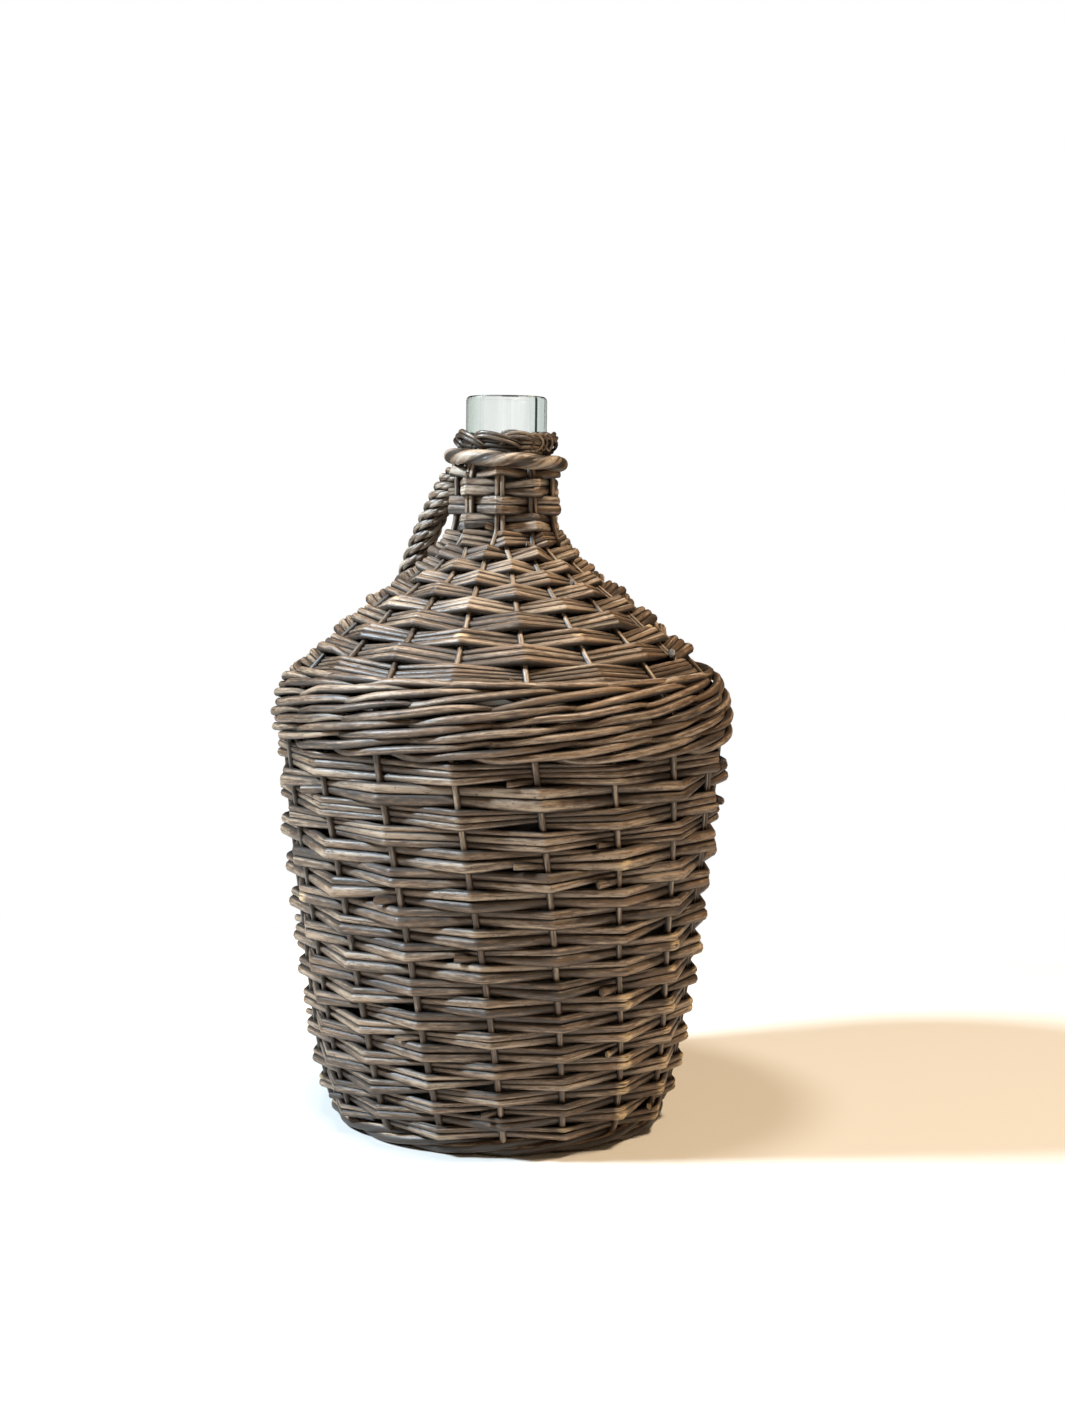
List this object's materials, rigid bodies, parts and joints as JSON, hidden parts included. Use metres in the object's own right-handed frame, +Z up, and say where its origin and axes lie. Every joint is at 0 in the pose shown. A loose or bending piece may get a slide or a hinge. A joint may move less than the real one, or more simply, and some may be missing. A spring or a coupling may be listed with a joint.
{
  "type": "wicker wine bottle",
  "caption": "Tall-shouldered glass bottle in a woven willow cover, with a twisted rope ring round the neck and a rope handle at one side.",
  "frame": {"origin": "on the floor, under the middle of the base", "axes": "+Z up along the neck, -Y towards the front, +X to the right; the handle is at the back left"},
  "size_m": [0.2456, 0.2456, 0.38],
  "materials": {
    "glass": "clear, faintly green",
    "rod": "weathered willow, satin",
    "stake": "weathered willow, satin",
    "thick_rod": "weathered willow, satin",
    "rope": "twisted willow, satin"
  },
  "bodies": {
    "root": {"glass_bottle": "glass", "base_slath": "stake", "base_sticks": "stake", "base_weave": "rod", "foot_wale": "thick_rod", "side_stakes": "stake", "body_row_01": "rod", "body_row_02": "rod", "body_row_03": "rod", "body_row_04": "rod", "body_row_05": "rod", "body_row_06": "rod", "body_row_07": "rod", "body_row_08": "rod", "body_row_09": "rod", "body_row_10": "rod", "body_row_11": "rod", "body_row_12": "rod", "body_row_13": "rod", "body_row_14": "rod", "body_row_15": "rod", "body_row_16": "rod", "body_row_17": "rod", "body_row_18": "rod", "body_row_19": "rod", "body_row_20": "rod", "body_row_21": "rod", "body_row_22": "rod", "shoulder_wale": "thick_rod", "shoulder_row_01": "rod", "shoulder_row_02": "rod", "shoulder_row_03": "rod", "shoulder_row_04": "rod", "shoulder_row_05": "rod", "shoulder_row_06": "rod", "shoulder_row_07": "rod", "shoulder_row_08": "rod", "shoulder_row_09": "rod", "shoulder_row_10": "rod", "neck_row_1": "rod", "neck_row_2": "rod", "neck_row_3": "rod", "neck_row_4": "rod", "neck_ring": "rope", "neck_border": "stake", "handle_rope": "rope"}
  },
  "joints": []
}
